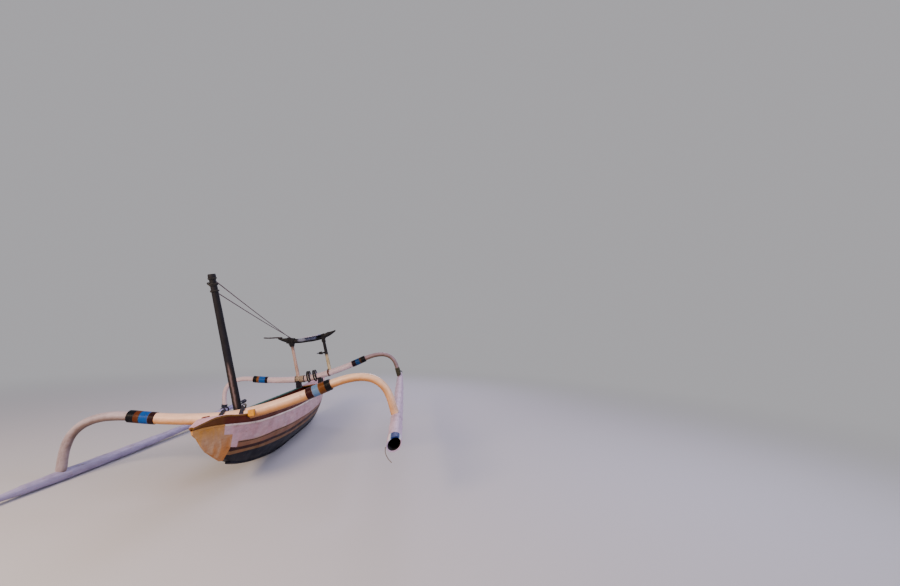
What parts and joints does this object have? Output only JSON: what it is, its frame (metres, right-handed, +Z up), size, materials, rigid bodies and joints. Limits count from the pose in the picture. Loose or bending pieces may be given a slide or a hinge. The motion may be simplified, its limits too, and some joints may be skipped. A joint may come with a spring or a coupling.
{
  "type": "double outrigger sailing canoe",
  "caption": "Double-outrigger sailing canoe drawn up on land: hollowed log hull, gull-wing booms, bamboo floats, raked mast and stern yoke, leaning on one float.",
  "frame": {"origin": "middle of the bounding box, on the floor", "axes": "+Z up, +Y from bow to stern, +X to the port side, which is the right as seen from ahead; the boat leans 10.2 degrees to -X about +Y, on its keel and its starboard float"},
  "size_m": [3.6258, 4.9992, 2.2138],
  "materials": {
    "cream_paint": "cream paint, scuffed",
    "raw_timber": "bare weathered timber",
    "boom_paint": "cream gloss paint over bamboo and curved timber",
    "ochre_paint": "worn ochre paint",
    "green_paint": "pale green paint",
    "float_paint": "lilac white paint over bamboo",
    "grey_timber": "grey weathered board",
    "hull_paint": "old gloss paint, lilac white, chalky",
    "navy_paint": "navy bottom paint",
    "rope": "navy laid rope",
    "dark_timber": "dark stained timber",
    "brown_paint": "dark brown gloss paint",
    "sleeve_paint": "bands of blue, ochre, dark red and black paint",
    "line": "thin dark red line"
  },
  "bodies": {
    "hull": {"aft_deck": "cream_paint", "aft_thwart": "raw_timber", "arm_front_left": "boom_paint", "arm_front_right": "boom_paint", "arm_rear_left": "boom_paint", "arm_rear_right": "boom_paint", "bow_block": "ochre_paint", "cap_rail_left": "green_paint", "cap_rail_right": "green_paint", "chock_front_left": "ochre_paint", "chock_front_right": "ochre_paint", "chock_rear_left": "ochre_paint", "chock_rear_right": "ochre_paint", "float_left": "float_paint", "float_right": "float_paint", "floor_board": "grey_timber", "fore_deck": "cream_paint", "fore_thwart": "raw_timber", "front_boom": "boom_paint", "hull_log": "hull_paint", "keel_strip": "navy_paint", "lashing_front_left": "rope", "lashing_front_right": "rope", "lashing_rear_left": "rope", "lashing_rear_right": "rope", "mast_partner": "raw_timber", "mast_step": "raw_timber", "mid_thwart": "raw_timber", "post_peg": "dark_timber", "rear_boom": "boom_paint", "rest_post_left": "raw_timber", "rest_post_right": "raw_timber", "rest_yoke": "dark_timber", "rib_1": "raw_timber", "rib_2": "raw_timber", "rib_3": "raw_timber", "rub_rail_left": "cream_paint", "rub_rail_right": "cream_paint", "sheer_strake_left": "brown_paint", "sheer_strake_right": "brown_paint", "sleeve_front_left": "sleeve_paint", "sleeve_front_right": "sleeve_paint", "sleeve_rear_left": "sleeve_paint", "sleeve_rear_right": "sleeve_paint", "stern_block": "ochre_paint", "tie_line": "line", "yoke_board": "grey_timber", "yoke_stick": "grey_timber"},
    "mast": {"mast": "dark_timber", "mast_collar": "rope", "stay_upper": "line", "stay_lower": "line"}
  },
  "joints": [
    {"name": "mast_lift", "type": "slide", "parent": "hull", "child": "mast", "axis": [-0.1735, -0.1901, 0.9663], "range_m": [0, 0.5]}
  ]
}
